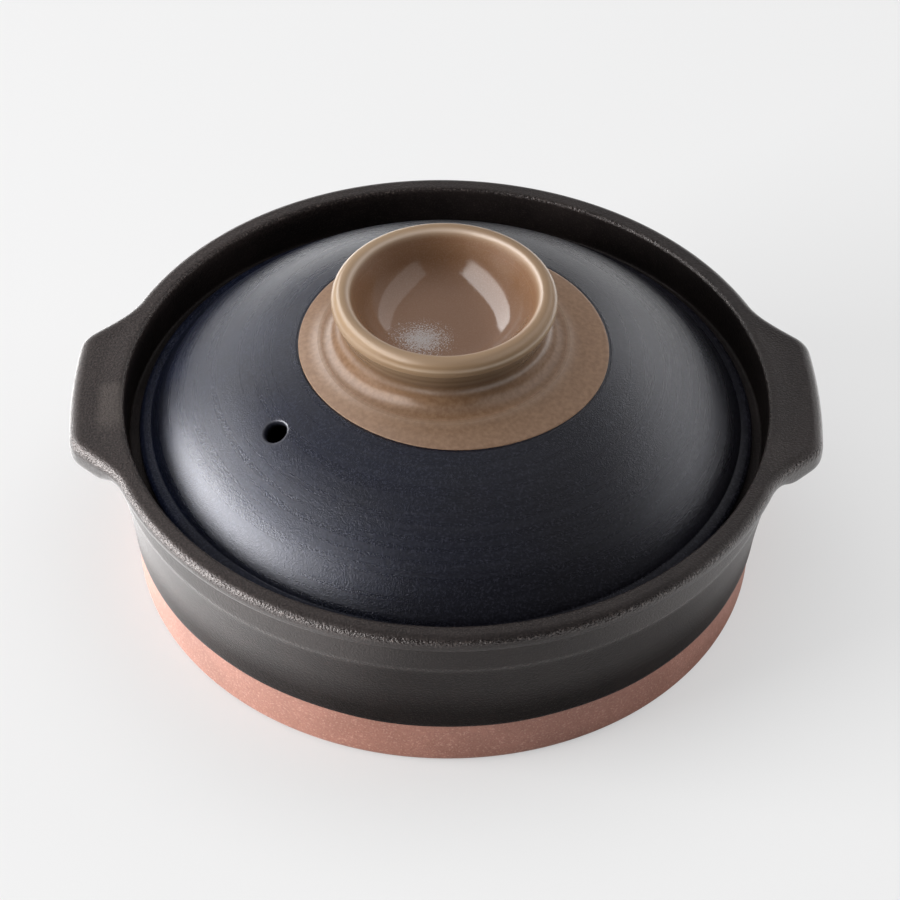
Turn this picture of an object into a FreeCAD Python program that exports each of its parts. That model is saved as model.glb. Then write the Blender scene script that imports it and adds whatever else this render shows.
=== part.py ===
import FreeCAD, Part
import math
import os

# Clay pot for the stove with a domed lid: two loose pieces, each built up from turned clay,
# hand-set clay and glaze coats. Millimetres, +Z up, origin at the middle of the underside,
# +X towards the right lug.

# Pot, bare clay
rim_radius = 126.5          # widest point of the rolled lip
rim_height = 73.6           # flat land on top of the rim
rim_width = 7.6             # from the mouth to the widest point of the lip
lip_roll = 3.0              # radius of the rolled lip
cove_radius = 2.2           # hollow under the lip
mouth_round = 1.5           # rounded inner edge of the rim
ridge_inset = 4.1           # soft ridge round the upper wall, inside the widest point
ridge_drop = 18.2           # below the rim
base_inset = 10.0           # foot of the wall, inside the widest point
base_round = 3.5            # rounded edge of the underside
wall_hollow = 1.1           # how far the lower wall bows inwards
floor_thickness = 9.0
wall_thickness = 10.4       # at the foot of the inside
inside_corner = 16.0        # between the inside wall and the floor

# Seat for the lid
seat_depth = 16.2           # below the rim
seat_width = 12.5
rim_draft = 0.8             # the inner rim wall narrows by this much down to the seat
seat_round = 1.5

# Lugs, bare clay
lug_overhang = 11.4         # outer edge, outside the widest point of the rim
lug_half_width = 29.2       # at the outer corners, before rounding
lug_side_angle = 42.0       # degrees from +X
lug_edge_bow = 1.7          # how far the outer edge bows out
lug_corner = 12.0
lug_blend = 30.0            # hollow corner where a lug flows out of the rim
lug_thickness = 10.6
lug_round = 3.8             # rounded upper and lower edges

# Lid, bare clay
lid_clearance = 4.9         # between the edge of the lid and the wall of the seat
lid_rest_gap = 0.3          # between the lid and its seat
lid_wall = 7.0
lid_edge = 3.5              # thickness of the rounded outer edge
lid_edge_width = 4.2        # from the outside to the foot of the dome
lid_edge_rise = 0.5         # the top of the edge climbs by this much towards the dome
dome_rise = 46.1            # from the underside of the lid to its crown
crown_radius = 200.0        # curvature of the middle of the dome
crown_margin = 3.4          # the crown runs this far past the pale zone, then turns into the shoulder
steam_hole_diameter = 9.2
steam_hole_gap = 12.6       # from the pale zone to the edge of the hole
steam_hole_angle = 213.5    # degrees from +X

# Knob, bare clay
knob_height = 17.4          # above the crown of the dome
knob_radius = 40.2          # widest point of its lip
knob_lip_width = 5.3        # from the widest point to the inner edge of the lip
knob_bowl_slope = 58.0      # degrees, wall of the bowl from level
knob_bowl_corner = 20.0     # rounded turn from the wall of the bowl to its floor
knob_bowl_sink = 0.3        # the turn cuts this far into the dome, so that the two meet in a line
knob_lip_roll = 3.5
knob_lip_round = 1.4        # inner edge of the lip
knob_lip_turn = 50.0        # degrees that the lip rolls under
knob_neck_radius = 36.3
knob_neck_drop = 13.4       # from the top of the lip to the narrowest point
knob_foot_radius = 44.5
knob_foot_step = 0.8        # small edge where the foot meets the dome
knob_shift = 1.4            # towards the left lug: the knob was set on the dome by hand

# Glaze coats
glaze = 0.5
glaze_line_height = 20.9    # the base is left bare below this line
tan_margin = 11.8           # pale zone round the foot of the knob
tan_shift = 2.3             # towards the right lug: the zone was dipped by hand
bare_ring = 3.0             # width of bare clay left inside the underside of the lid

# Worked-out sizes
mouth_radius = rim_radius - rim_width
ridge_radius = rim_radius - ridge_inset
ridge_height = rim_height - ridge_drop
base_radius = rim_radius - base_inset
lug_reach = rim_radius + lug_overhang
seat_height = rim_height - seat_depth
seat_outer_radius = mouth_radius - rim_draft
seat_inner_radius = seat_outer_radius - seat_width
lip_centre_radius = rim_radius - lip_roll
lip_centre_height = rim_height - lip_roll
cove_centre_height = lip_centre_height - lip_roll - cove_radius
inside_foot_radius = base_radius - wall_thickness
lid_radius = seat_outer_radius - lid_clearance
lid_bottom = seat_height + glaze + lid_rest_gap
crown_height = lid_bottom + dome_rise
tan_radius = knob_foot_radius + tan_margin
crown_reach = tan_radius + tan_shift + crown_margin
steam_hole_place = tan_radius + steam_hole_gap + steam_hole_diameter / 2
knob_top = crown_height + knob_height
knob_bowl_radius = knob_radius - knob_lip_width


def point(radius, height):
    return FreeCAD.Vector(radius, 0, height)


def around(centre, radius, degrees):
    turn = math.radians(degrees)
    return point(centre.x + radius * math.cos(turn), centre.z + radius * math.sin(turn))


# A chain of edges: a step that is a point is a straight run, a pair is an arc through its first point.
def chain(start, *steps):
    edges = []
    here = start
    for step in steps:
        if isinstance(step, tuple):
            edges.append(Part.Arc(here, step[0], step[1]).toShape())
            here = step[1]
        else:
            edges.append(Part.LineSegment(here, step).toShape())
            here = step
    return edges


def turned(edges):
    upright = FreeCAD.Vector(0, 0, 1)
    face = Part.Face(Part.Wire(edges))
    face.rotate(FreeCAD.Vector(0, 0, 0), upright, 90)
    return face.revolve(FreeCAD.Vector(0, 0, 0), upright, 360)


# The space between a line and the same line grown by the glaze.
def coat(line_of):
    inner = line_of(0)
    outer = line_of(glaze)
    return turned(chain(*inner, *reversed_line(*outer), inner[0]))


def reversed_line(start, *steps):
    ends = [start]
    for step in steps:
        ends.append(step[1] if isinstance(step, tuple) else step)
    back = [ends[-1]]
    for index in range(len(steps) - 1, -1, -1):
        step = steps[index]
        back.append((step[0], ends[index]) if isinstance(step, tuple) else ends[index])
    return back


# Outside of the pot, from the foot of the wall over the rim and across the seat to its inner edge.
def pot_outside(grow):
    foot = point(base_radius + grow, base_round)
    ridge = point(ridge_radius + grow, ridge_height)
    middle = (foot + ridge) * 0.5
    hollow = point(middle.x - wall_hollow, middle.z)
    cove = point(lip_centre_radius, cove_centre_height)
    lip = point(lip_centre_radius, lip_centre_height)
    edge = point(mouth_radius + mouth_round, rim_height - mouth_round)
    seat = point(seat_inner_radius + seat_round, seat_height - seat_round)
    hollow_radius = cove_radius - grow
    return [
        foot,
        (hollow, ridge),
        around(cove, hollow_radius, 180),
        (around(cove, hollow_radius, 135), around(cove, hollow_radius, 90)),
        (around(lip, lip_roll + grow, 0), around(lip, lip_roll + grow, 90)),
        around(edge, mouth_round + grow, 90),
        (around(edge, mouth_round + grow, 135), around(edge, mouth_round + grow, 180)),
        point(seat_outer_radius - grow, seat_height + grow),
        around(seat, seat_round + grow, 90),
        (around(seat, seat_round + grow, 135), around(seat, seat_round + grow, 180)),
    ]


# Cooking surface, from the inner edge of the seat to the middle of the floor.
def pot_inside(grow):
    corner = point(inside_foot_radius - inside_corner, floor_thickness + inside_corner)
    bend = inside_corner - grow
    return [
        point(seat_inner_radius - grow, seat_height - seat_round),
        around(corner, bend, 0),
        (around(corner, bend, -45), around(corner, bend, -90)),
        point(0, floor_thickness + grow),
    ]


def pot_clay():
    base = point(base_radius - base_round, base_round)
    return turned(chain(
        point(0, 0),
        point(base.x, 0),
        (around(base, base_round, -45), around(base, base_round, 0)),
        *pot_outside(0)[1:],
        *pot_inside(0)[1:],
        point(0, 0),
    ))


# The right lug. Its plan: the rim circle, a hollow blend, a slanting side, a rounded corner
# and a slightly bowed outer edge, mirrored about the X axis.
def lug(grow):
    bow_radius = (lug_half_width ** 2 + lug_edge_bow ** 2) / (2 * lug_edge_bow)
    bow_centre = lug_reach - bow_radius
    edge_radius = bow_radius + grow
    corner_radius = lug_corner + grow
    blend_radius = lug_blend - grow
    circle = rim_radius + grow
    slant = math.radians(lug_side_angle)
    out = FreeCAD.Vector(math.sin(slant), math.cos(slant), 0)
    along = FreeCAD.Vector(-math.cos(slant), math.sin(slant), 0)
    corner_point = FreeCAD.Vector(lug_reach - lug_edge_bow, lug_half_width, 0)
    offset = corner_point.dot(out) + grow

    reach = edge_radius - corner_radius
    bow_offset = offset - corner_radius - bow_centre * out.x
    corner = FreeCAD.Vector(bow_centre, 0, 0) + out * bow_offset
    corner = corner - along * math.sqrt(reach ** 2 - bow_offset ** 2)
    blend = out * (offset + blend_radius)
    blend = blend - along * math.sqrt((circle + blend_radius) ** 2 - (offset + blend_radius) ** 2)

    edge_end = corner + (corner - FreeCAD.Vector(bow_centre, 0, 0)).normalize() * corner_radius
    corner_middle = corner + ((edge_end - corner).normalize() + out).normalize() * corner_radius
    side_start = corner + out * corner_radius
    side_end = blend - out * blend_radius
    rim_end = blend * (circle / (circle + blend_radius))
    blend_middle = blend - (out + FreeCAD.Vector(rim_end).normalize()).normalize() * blend_radius
    inner_end = FreeCAD.Vector(rim_end).normalize() * mouth_radius

    def mirrored(place):
        return FreeCAD.Vector(place.x, -place.y, 0)

    plan = chain(
        mirrored(edge_end),
        (FreeCAD.Vector(bow_centre + edge_radius, 0, 0), edge_end),
        (corner_middle, side_start),
        side_end,
        (blend_middle, rim_end),
        inner_end,
        (FreeCAD.Vector(mouth_radius, 0, 0), mirrored(inner_end)),
        mirrored(rim_end),
        (mirrored(blend_middle), mirrored(side_end)),
        mirrored(side_start),
        (mirrored(corner_middle), mirrored(edge_end)),
    )
    thick = lug_thickness + 2 * grow
    slab = Part.Face(Part.Wire(plan)).extrude(FreeCAD.Vector(0, 0, thick))
    rounded = []
    for edge in slab.Edges:
        centre = edge.CenterOfMass
        level = edge.BoundBox.ZLength < lug_round / 2
        if level and math.hypot(centre.x, centre.y) > circle:
            rounded.append(edge)
    slab = slab.makeFillet(lug_round + grow, rounded)
    slab.translate(FreeCAD.Vector(0, 0, rim_height + grow - thick))
    slab = slab.cut(plug(mouth_radius + mouth_round, rim_height + thick, 0))
    return slab


# The same shape on the other side of the pot.
def across(shape):
    return shape.mirror(FreeCAD.Vector(0, 0, 0), FreeCAD.Vector(1, 0, 0))


# What shapes the top of the lid: the rounded edge, the foot of the dome, and the shoulder,
# an arc that starts at the foot and runs smoothly into the flatter crown.
def dome():
    half = lid_edge / 2
    nose = point(lid_radius - half, lid_bottom + half)
    foot = point(lid_radius - lid_edge_width, lid_bottom + lid_edge + lid_edge_rise)
    lean = math.asin(crown_reach / crown_radius)
    crown_centre = point(0, crown_height - crown_radius)
    meet = around(crown_centre, crown_radius, 90 - math.degrees(lean))
    normal = point(math.sin(lean), math.cos(lean))
    chord = foot - meet
    shoulder_radius = -chord.dot(chord) / (2 * chord.dot(normal))
    shoulder = meet - normal * shoulder_radius
    return nose, foot, crown_centre, shoulder, shoulder_radius, math.degrees(lean)


def shoulder_point(radius, height, shoulder):
    return point(shoulder.x + math.sqrt(radius ** 2 - (height - shoulder.z) ** 2), height)


# Top of the lid, from the outside of its edge to the crown.
def lid_outside(grow):
    nose, foot, crown_centre, shoulder, shoulder_radius, lean = dome()
    start = shoulder_point(shoulder_radius + grow, foot.z + grow, shoulder)
    low = math.degrees(math.asin((start.z - shoulder.z) / (shoulder_radius + grow)))
    high = 90 - lean
    crown = crown_radius + grow
    return [
        around(nose, lid_edge / 2 + grow, 0),
        (around(nose, lid_edge / 2 + grow, 45), around(nose, lid_edge / 2 + grow, 90)),
        start,
        (around(shoulder, shoulder_radius + grow, (low + high) / 2),
         around(shoulder, shoulder_radius + grow, high)),
        (around(crown_centre, crown, 90 - lean / 2), around(crown_centre, crown, 90)),
    ]


# Underside of the lid, the same dome one wall lower, from the crown to a given height.
def lid_inside(drop, height):
    nose, foot, crown_centre, shoulder, shoulder_radius, lean = dome()
    bend = shoulder_radius - drop
    end = shoulder_point(bend, height, shoulder)
    low = math.degrees(math.asin((end.z - shoulder.z) / bend))
    high = 90 - lean
    crown = crown_radius - drop
    return [
        around(crown_centre, crown, 90),
        (around(crown_centre, crown, 90 - lean / 2), around(crown_centre, crown, high)),
        (around(shoulder, bend, (low + high) / 2), end),
    ]


def lid_clay():
    nose = dome()[0]
    half = lid_edge / 2
    return turned(chain(
        point(nose.x, lid_bottom),
        (around(nose, half, -45), around(nose, half, 0)),
        *lid_outside(0)[1:],
        *lid_inside(lid_wall, lid_bottom),
        point(nose.x, lid_bottom),
    ))


def lid_inner_coat():
    top = lid_inside(lid_wall, lid_bottom + bare_ring)
    low = lid_inside(lid_wall + glaze, lid_bottom + bare_ring)
    return turned(chain(*top, *reversed_line(*low), top[0]))


# A round hole square to the dome, long enough to pass through the wall and its coats.
def steam_hole():
    shoulder, shoulder_radius = dome()[3:5]
    lean = math.asin((steam_hole_place - shoulder.x) / shoulder_radius)
    turn = math.radians(steam_hole_angle)
    axis = FreeCAD.Vector(math.sin(lean) * math.cos(turn), math.sin(lean) * math.sin(turn), math.cos(lean))
    height = shoulder.z + shoulder_radius * math.cos(lean)
    middle = FreeCAD.Vector(steam_hole_place * math.cos(turn), steam_hole_place * math.sin(turn), height)
    half_length = lid_wall + steam_hole_diameter
    start = middle - axis * half_length
    return Part.makeCylinder(steam_hole_diameter / 2, 2 * half_length, start, axis)


# Height of the crown of the dome at a radius, grown by a coat.
def crown_at(radius, grow):
    crown = crown_radius + grow
    return point(radius, crown_height - crown_radius + math.sqrt(crown ** 2 - radius ** 2))


# Bowl of the knob below the inner edge of the lip: a straight wall, then a rounded turn that ends on the dome.
def knob_bowl(grow):
    slope = math.radians(knob_bowl_slope)
    inwards = point(-math.sin(slope), math.cos(slope))
    down = point(-math.cos(slope), -math.sin(slope))
    inner = point(knob_bowl_radius + knob_lip_round, knob_top - knob_lip_round)
    crown_centre = point(0, crown_height - crown_radius)

    # The turn touches the wall and reaches a little into the dome.
    start = inner + inwards * (knob_lip_round + knob_bowl_corner) - crown_centre
    distance = crown_radius + knob_bowl_corner - knob_bowl_sink
    along = start.dot(down)
    run = -along - math.sqrt(along ** 2 - start.dot(start) + distance ** 2)
    centre = start + down * run
    turn = knob_bowl_corner - grow
    crown = crown_radius + grow
    share = (distance ** 2 + crown ** 2 - turn ** 2) / (2 * distance)
    towards = centre * (1 / distance)
    beside = point(towards.z, -towards.x)
    end = crown_centre + towards * share + beside * math.sqrt(crown ** 2 - share ** 2)
    centre = centre + crown_centre
    wall_end = centre - inwards * turn
    middle = (wall_end + end) * 0.5 - centre
    middle = centre + middle.normalize() * turn
    return wall_end, middle, end


# Outside of the ring-shaped knob, from the edge of its foot over the rolled lip into its bowl.
def knob_outside(grow):
    roll = knob_lip_roll + grow
    lip = point(knob_radius - knob_lip_roll, knob_top - knob_lip_roll)
    inner = point(knob_bowl_radius + knob_lip_round, knob_top - knob_lip_round)
    round_inside = knob_lip_round + grow
    neck = point(knob_neck_radius + grow, knob_top - knob_neck_drop)
    foot = point(knob_foot_radius + grow, crown_at(knob_foot_radius, 0).z + knob_foot_step + grow)
    flare_width = foot.x - neck.x
    flare_height = neck.z - foot.z
    flare = (flare_width ** 2 + flare_height ** 2) / (2 * flare_width)
    flare_centre = point(neck.x + flare, neck.z)
    turn = math.degrees(math.atan2(flare_height, flare - flare_width))
    lip_end = 90 + knob_bowl_slope
    wall_end, bowl_middle, bowl_end = knob_bowl(grow)
    return [
        crown_at(foot.x, grow),
        foot,
        (around(flare_centre, flare, 180 + turn / 2), neck),
        around(lip, roll, -knob_lip_turn),
        (around(lip, roll, 20), around(lip, roll, 90)),
        around(inner, round_inside, 90),
        (around(inner, round_inside, (90 + lip_end) / 2), around(inner, round_inside, lip_end)),
        wall_end,
        (bowl_middle, bowl_end),
    ]


def knob_clay():
    outside = knob_outside(0)
    end = outside[-1][1]
    middle = crown_at((outside[0].x + end.x) / 2, 0)
    return turned(chain(*outside, (middle, outside[0])))


# The pale coat: the dome round the knob, the knob and the floor of its bowl.
def tan_line(grow):
    outside = knob_outside(grow)
    start = crown_at(crown_reach, grow)
    foot = outside[0]
    bowl = outside[-1][1]
    return [
        start,
        (crown_at((start.x + foot.x) / 2, grow), foot),
        *outside[1:],
        (crown_at(bowl.x / 2, grow), crown_at(0, grow)),
    ]


# Moved along the round crown of the dome, so that its underside stays on it.
def set_by_hand(shape):
    crown_centre = FreeCAD.Vector(0, 0, crown_height - crown_radius)
    tilt = math.degrees(math.asin(knob_shift / crown_radius))
    shape.rotate(crown_centre, FreeCAD.Vector(0, 1, 0), -tilt)
    return shape


# An upright cylinder from the underside, moved along X.
def plug(radius, height, shift):
    return Part.makeCylinder(radius, height, FreeCAD.Vector(shift, 0, 0))


def main():
    pieces = {}

    # Pot
    clay = pot_clay()
    wall_coat = coat(pot_outside).cut(plug(rim_radius, glaze_line_height, 0))
    lug_core = lug(0)
    right_lug = lug_core.cut(clay)
    right_lug_glaze = lug(glaze).cut(lug_core).cut(clay).cut(wall_coat)
    pieces["pot_clay_body"] = clay
    pieces["right_lug"] = right_lug
    pieces["left_lug"] = across(right_lug)
    pieces["pot_outer_glaze"] = wall_coat.cut([lug_core, across(lug_core)])
    pieces["right_lug_glaze"] = right_lug_glaze
    pieces["left_lug_glaze"] = across(right_lug_glaze)
    pieces["pot_inner_glaze"] = coat(pot_inside)

    # Lid
    hole = steam_hole()
    tan_zone = plug(tan_radius, knob_top + knob_height, tan_shift)
    pieces["lid_clay_dome"] = lid_clay().cut(hole)
    pieces["lid_navy_glaze"] = coat(lid_outside).cut(tan_zone).cut(hole)
    pieces["lid_inner_glaze"] = lid_inner_coat().cut(hole)
    pieces["knob_ring"] = set_by_hand(knob_clay())
    pieces["knob_tan_glaze"] = set_by_hand(coat(tan_line)).common(tan_zone)

    os.makedirs("parts", exist_ok=True)
    for name, shape in pieces.items():
        print(name, shape.isValid(), len(shape.Solids), round(shape.Volume / 1000, 2), "cm3")
        shape.exportStep("parts/" + name + ".step")


main()
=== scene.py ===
import bpy
import math
import numpy as np
from mathutils import Matrix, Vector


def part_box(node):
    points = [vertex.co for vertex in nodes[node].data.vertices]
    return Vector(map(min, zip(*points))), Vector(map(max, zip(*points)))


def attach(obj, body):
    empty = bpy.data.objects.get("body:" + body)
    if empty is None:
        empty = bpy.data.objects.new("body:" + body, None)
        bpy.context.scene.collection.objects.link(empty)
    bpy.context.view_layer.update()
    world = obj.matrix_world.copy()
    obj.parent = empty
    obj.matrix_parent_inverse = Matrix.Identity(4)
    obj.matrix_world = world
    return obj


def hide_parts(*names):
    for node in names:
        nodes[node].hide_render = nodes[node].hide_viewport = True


# Donabe clay pot in the CAD frame: +Z up, +X towards the right lug. Shapes are worked out in millimetres.
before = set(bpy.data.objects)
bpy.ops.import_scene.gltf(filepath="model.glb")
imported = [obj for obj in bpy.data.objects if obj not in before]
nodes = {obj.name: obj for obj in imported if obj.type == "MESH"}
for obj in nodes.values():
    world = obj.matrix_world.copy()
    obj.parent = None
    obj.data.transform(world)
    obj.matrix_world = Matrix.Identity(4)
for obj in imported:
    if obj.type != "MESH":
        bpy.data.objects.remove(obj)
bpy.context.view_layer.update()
print("frame loaded")

millimetre = 0.001


# Shape helpers

# A share held between 0 and 1, with a soft start and end.
def smooth(share):
    share = np.clip(share, 0, 1)
    return share * share * (3 - 2 * share)


# What lies this share of the way from first to second.
def mix(first, second, share):
    return first + (second - first) * share


# A bell curve: 1 at the middle, about a third at one width from it.
def bell(value, middle, width):
    return np.exp(-((value - middle) / width) ** 2)


# Evenly spaced shares between 0 and 1, without the two ends.
def between(count):
    return np.linspace(0, 1, count + 2)[1:-1]


# Sum of waves round the axis, each with its count in a full turn, its phase and its height.
def waveSum(angle, waves):
    return sum(height * np.cos(count * angle + phase) for count, phase, height in waves)


# Slow waves round the pot, never above zero, so that hand-made pieces stay inside their CAD size.
def handWave(angle, size, phase):
    waves = ((2, phase, 1), (3, 2.1 * phase, 0.6), (5, 3.7 * phase, 0.35))
    highest = sum(height for count, shift, height in waves)
    return size * (waveSum(angle, waves) - highest) / (2 * highest)


# Points on an arc, from the start angle to the end angle in degrees.
def arcRun(centre, radius, start, end, count):
    turn = np.radians(np.linspace(start, end, count))
    return np.column_stack([centre[0] + radius * np.cos(turn), centre[1] + radius * np.sin(turn)])


# Evenly spaced points between start and end, without the two ends.
def lineRun(start, end, count):
    return mix(np.array(start), np.array(end), between(count)[:, None])


# A curve from start to end that leaves towards the bend and arrives from it.
def bendRun(start, bend, end, count):
    share = np.linspace(0, 1, count)[:, None]
    leaving = mix(np.array(start), np.array(bend), share)
    arriving = mix(np.array(bend), np.array(end), share)
    return mix(leaving, arriving, share)


# Each profile point (radius, height) turned round the axis: rows follow the profile, columns the angle.
def turnedGrid(profile, angle):
    radius = profile[:, 0:1]
    height = np.repeat(profile[:, 1:2], len(angle), axis=1)
    return np.stack([radius * np.cos(angle), radius * np.sin(angle), height], axis=-1)


# Angles in equal steps round the axis.
def evenAngles(count):
    return np.arange(count) * 2 * math.pi / count


# Every third row and the last one: enough for the hidden side of a coat.
def hiddenRows(count):
    return np.unique(np.concatenate([np.arange(0, count, 3), [count - 1]]))


# Faces between neighbouring rows and columns; the columns close on themselves, the rows only in a ring.
def gridFaces(rows, columns, ring):
    row, column = np.meshgrid(np.arange(rows if ring else rows - 1), np.arange(columns), indexing="ij")
    above = (row + 1) % rows
    beside = (column + 1) % columns
    corners = [(row, column), (row, beside), (above, beside), (above, column)]
    return np.stack([up * columns + along for up, along in corners], axis=-1).reshape(-1, 4)


# A mesh object from points in millimetres, arrays of faces, and marks that materials read as attributes.
def makePiece(name, points, faces, marks):
    mesh = bpy.data.meshes.new(name)
    corners = np.concatenate([part.ravel() for part in faces])
    sizes = np.concatenate([np.full(len(part), part.shape[1]) for part in faces])
    mesh.vertices.add(len(points))
    mesh.vertices.foreach_set("co", (points * millimetre).ravel())
    mesh.loops.add(len(corners))
    mesh.loops.foreach_set("vertex_index", corners)
    mesh.polygons.add(len(sizes))
    mesh.polygons.foreach_set("loop_start", np.cumsum(sizes) - sizes)
    mesh.update(calc_edges=True)
    mesh.validate()
    mesh.shade_smooth()
    for mark, values in marks.items():
        mesh.attributes.new(mark, "FLOAT", "POINT").data.foreach_set("value", values.ravel())
    piece = bpy.data.objects.new(name, mesh)
    bpy.context.collection.objects.link(piece)
    print(name, len(points), "points")
    return piece


# A shell whose section is a closed loop that stays away from the axis.
def ringPiece(name, grid, marks):
    rows, columns = grid.shape[:2]
    return makePiece(name, grid.reshape(-1, 3), [gridFaces(rows, columns, True)], marks)


# A solid whose section starts and ends on the axis: a fan of triangles closes each end.
def axisPiece(name, first, grid, last, marks):
    rows, columns = grid.shape[:2]
    points = np.concatenate([[first], grid.reshape(-1, 3), [last]])
    column = np.arange(columns)
    beside = (column + 1) % columns
    top = (rows - 1) * columns
    fanFirst = np.column_stack([np.zeros(columns, int), 1 + beside, 1 + column])
    fanLast = np.column_stack([1 + top + column, 1 + top + beside, np.full(columns, len(points) - 1)])
    padded = {}
    for mark, values in marks.items():
        padded[mark] = np.concatenate([[values[0, 0]], values.ravel(), [values[-1, 0]]])
    return makePiece(name, points, [gridFaces(rows, columns, False) + 1, fanFirst, fanLast], padded)


# Shared sizes, as in the CAD

glaze = 0.5
rim = {
    "radius": 126.5, "top": 73.6, "mouth": 118.9, "mouthRound": 1.5,
    "lipRoll": 3.0, "cove": 2.2, "coveHeight": 65.4,
}
seat = {"height": 57.4, "outer": 118.1, "inner": 105.6, "round": 1.5, "corner": 1.2}
wall = {
    "foot": 116.5, "footRound": 3.5, "hollow": 1.1,
    "ridge": 122.4, "ridgeHeight": 55.4, "ridgeSoft": 0.1, "bandLean": 0.11,
}
hollow = {"radius": 106.1, "floor": 9.0, "corner": 16.0}
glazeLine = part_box("pot_outer_glaze")[0][2] / millimetre

# Middles of the rounds in the section of the pot, as (radius, height)
footCentre = (wall["foot"] - wall["footRound"], wall["footRound"])
lipCentre = (rim["radius"] - rim["lipRoll"], rim["top"] - rim["lipRoll"])
coveCentre = (lipCentre[0], rim["coveHeight"])
mouthCentre = (rim["mouth"] + rim["mouthRound"], rim["top"] - rim["mouthRound"])
seatCentre = (seat["inner"] + seat["round"], seat["height"] - seat["round"])
hollowCentre = (hollow["radius"] - hollow["corner"], hollow["floor"] + hollow["corner"])


# Outside wall below the ridge: a chord bowed inwards; above it a band that leans in. The two meet softly.
def wallRadius(height, grow):
    share = (height - wall["footRound"]) / (wall["ridgeHeight"] - wall["footRound"])
    low = mix(wall["foot"], wall["ridge"], share) - 4 * wall["hollow"] * share * (1 - share)
    high = wall["ridge"] - wall["bandLean"] * (height - wall["ridgeHeight"])
    soft = wall["ridgeSoft"]
    return grow - soft * np.logaddexp(-low / soft, -high / soft)


# Pot, clay: flat underside, rounded foot, wall, rim, seat and hollow. Where glaze covers it, the clay is
# sunk a little.

potClay = {
    "columns": 320, "sunk": 0.06, "sinkStart": 21.0, "sinkLength": 2.0,
    "lowHeights": (4.2, 24, 24), "highHeights": (28, 65, 12),
}
sunk = potClay["sunk"]
wallHeights = np.concatenate([np.linspace(*potClay["lowHeights"]), np.linspace(*potClay["highHeights"])])
wallSunk = sunk * smooth((wallHeights - potClay["sinkStart"]) / potClay["sinkLength"])
clayFloor = hollow["floor"] - sunk
potProfile = np.concatenate([
    lineRun((0, 0), (footCentre[0], 0), 10),
    arcRun(footCentre, wall["footRound"], -90, 0, 9),
    np.column_stack([wallRadius(wallHeights, -wallSunk), wallHeights]),
    arcRun(coveCentre, rim["cove"] + sunk, 180, 95, 6),
    arcRun(lipCentre, rim["lipRoll"] - sunk, -85, 90, 14),
    arcRun(mouthCentre, rim["mouthRound"] - sunk, 90, 180, 6),
    [(seat["outer"] + sunk, seat["height"] - sunk)],
    arcRun(seatCentre, seat["round"] - sunk, 90, 180, 6),
    arcRun(hollowCentre, hollow["corner"] + sunk, 0, -90, 10),
    lineRun((hollowCentre[0], clayFloor), (0, clayFloor), 8),
])
potGrid = turnedGrid(potProfile, evenAngles(potClay["columns"]))
potClayPiece = axisPiece("potClay", (0, 0, 0), potGrid, (0, 0, clayFloor), {})
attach(potClayPiece, "pot")
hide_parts("pot_clay_body")

# Pot, outer glaze: one skin over wall, rim, lugs and seat.

lug = {
    "reach": 137.9, "halfWidth": 29.2, "side": 42.0, "bow": 1.7, "corner": 12.0, "blend": 30.0,
    "thickness": 10.6, "round": 3.8, "fillet": 2.0, "coveHeight": 60.4, "rise": 6.0,
    "dent": 0.22, "dentStart": 130.0, "dentLength": 8.0,
}
potGlaze = {
    "columns": 480, "crowding": 0.4, "edgeThin": 0.02, "lowEnd": 50.0,
    "edgeRows": 5, "lowRows": 25, "bandRows": 23, "coveRows": 7, "landRows": 8,
    # Waves by hand, as (height, phase)
    "reachWave": (0.35, 0.7), "topWave": (0.16, 2.9), "mouthWave": (0.3, 1.9),
    "topWaveStart": -20, "topWaveLength": 60,
    "lineWaves": ((3, 1, 0.22), (7, 2, 0.16), (16, 0, 0.1)),
    # Rows of the lip, as (first, last, count): degrees along the roll of the rim and round the lug
    "underTurns": (-84, -60, 5), "lowTurns": (-52, -15, 6), "highTurns": (5, 90, 12),
    "underShares": (0.2, 1, 5), "lugLowTurns": (-75, 0, 6), "lugHighTurns": (0, 90, 12),
}
wear = {
    "line": 0.25, "ridge": 0.6, "ridgeWidth": 0.7, "crestTurn": 34, "crestWidth": 19,
    "land": 0.12, "mouth": 0.8, "mouthDrop": 0.6, "mouthWidth": 0.5,
}


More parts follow.
